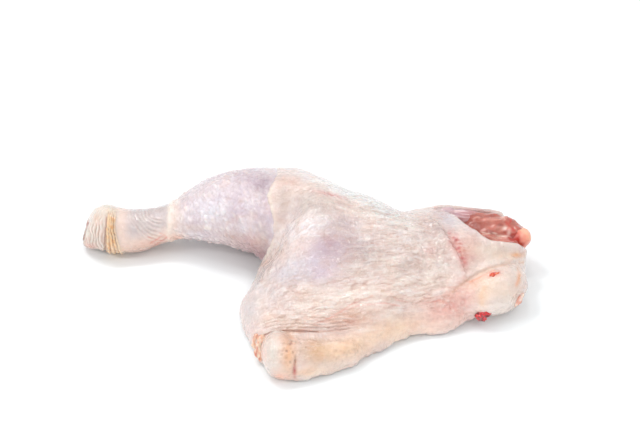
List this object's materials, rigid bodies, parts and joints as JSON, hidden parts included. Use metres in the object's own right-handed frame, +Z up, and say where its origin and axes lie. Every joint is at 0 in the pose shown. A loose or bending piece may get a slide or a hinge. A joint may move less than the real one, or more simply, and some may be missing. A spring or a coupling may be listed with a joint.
{
  "type": "raw chicken leg quarter",
  "caption": "Raw chicken leg quarter lying skin side up: drumstick with cut hock joint, thigh with loose wrinkled skin, and bare meat at the cut end.",
  "frame": {"origin": "under the middle of the leg quarter's box, on the surface it lies on", "axes": "+Z up, away from the surface it lies on. The drumstick points along -X and the thigh's cut end is at +X. The loose skin edge of the thigh points along -Y."},
  "size_m": [0.2526, 0.1314, 0.053],
  "materials": {
    "skin": "moist raw chicken skin, pale cream to pink with lilac patches where muscle shows through"
  },
  "bodies": {
    "root": {"leg_quarter": "skin"}
  },
  "joints": []
}
